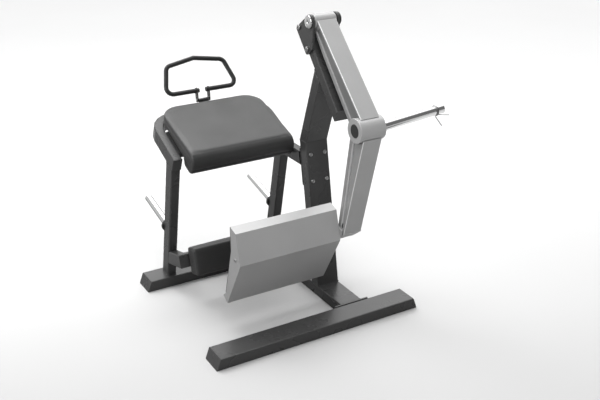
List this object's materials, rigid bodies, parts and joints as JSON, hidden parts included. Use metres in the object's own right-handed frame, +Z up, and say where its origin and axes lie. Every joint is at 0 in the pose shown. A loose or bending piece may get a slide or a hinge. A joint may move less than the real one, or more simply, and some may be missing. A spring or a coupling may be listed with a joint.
{
  "type": "glute machine",
  "caption": "Plate-loaded rear-kick machine: swinging cranked arm with a kick plate and load horn, sloped torso pad, shin pad, grab handle and storage horns on a two-beam frame.",
  "frame": {"origin": "on the floor, under the centre of the bounding box", "axes": "+Z up; +X along the foot beams, from the torso pad's side to the load horn's side; +Y from the kick plate towards the grab handle"},
  "size_m": [1.3246, 1.2734, 1.5585],
  "materials": {
    "frame_paint": "dark grey powder coat, satin",
    "arm_paint": "silver metallic powder coat",
    "chrome": "polished chrome",
    "steel": "zinc-plated hardware",
    "black_plastic": "matt black",
    "bumper_rubber": "matt black rubber",
    "tread_rubber": "ribbed black rubber",
    "handle_finish": "black coating",
    "upholstery": "dark grey synthetic leather, fine grain",
    "board": "black painted plywood"
  },
  "bodies": {
    "frame": {"front_beam": "frame_paint", "front_cap_left": "frame_paint", "front_cap_right": "frame_paint", "rear_beam": "frame_paint", "rear_cap_left": "frame_paint", "rear_cap_right": "frame_paint", "main_rail": "frame_paint", "front_flange": "frame_paint", "lower_mast": "frame_paint", "upper_mast": "frame_paint", "head_tube": "frame_paint", "head_tube_cap": "frame_paint", "bracket_plate_left": "frame_paint", "bracket_plate_right": "frame_paint", "seat_link_tube": "frame_paint", "seat_link_flange": "frame_paint", "seat_frame": "frame_paint", "seat_cap_left": "frame_paint", "seat_cap_right": "frame_paint", "left_leg": "frame_paint", "right_leg": "frame_paint", "shin_bracket": "frame_paint", "pad_support": "frame_paint", "handle_plate": "frame_paint", "handle_lug_left": "frame_paint", "handle_lug_right": "frame_paint", "flange_bolt_left": "steel", "flange_bolt_right": "steel", "mast_bolt_1": "steel", "mast_bolt_2": "steel", "mast_bolt_3": "steel", "mast_bolt_4": "steel", "bracket_bolt_upper": "steel", "bracket_bolt_lower": "steel", "handle_cross_bar": "steel", "pivot_bolt": "chrome", "storage_horn_left": "chrome", "storage_horn_right": "chrome", "pivot_nut": "black_plastic", "storage_washer_left": "black_plastic", "storage_washer_right": "black_plastic", "stop_bumper": "bumper_rubber", "handle": "handle_finish", "torso_pad": "upholstery", "shin_pad": "upholstery", "torso_board": "board", "shin_board": "board"},
    "swing_arm": {"pivot_barrel": "arm_paint", "upper_arm": "arm_paint", "elbow_sleeve": "arm_paint", "sleeve_cap": "black_plastic", "lower_arm": "arm_paint", "lower_arm_cap": "arm_paint", "load_horn": "chrome", "load_horn_washer": "black_plastic", "kick_plate": "arm_paint", "kick_tread": "tread_rubber", "kick_plate_mount": "arm_paint", "kick_bolt": "steel"},
    "clip": {"spring_clip": "steel"}
  },
  "joints": [
    {"name": "arm_swing", "type": "hinge", "parent": "frame", "child": "swing_arm", "pos_m": [0.20266, -0.14194, 1.522], "axis": [-1, 0, 0], "range_deg": [0, 65]},
    {"name": "clip_slide", "type": "slide", "parent": "swing_arm", "child": "clip", "axis": [0.996, 0, 0.0889], "range_m": [-0.3, 0.07]}
  ]
}
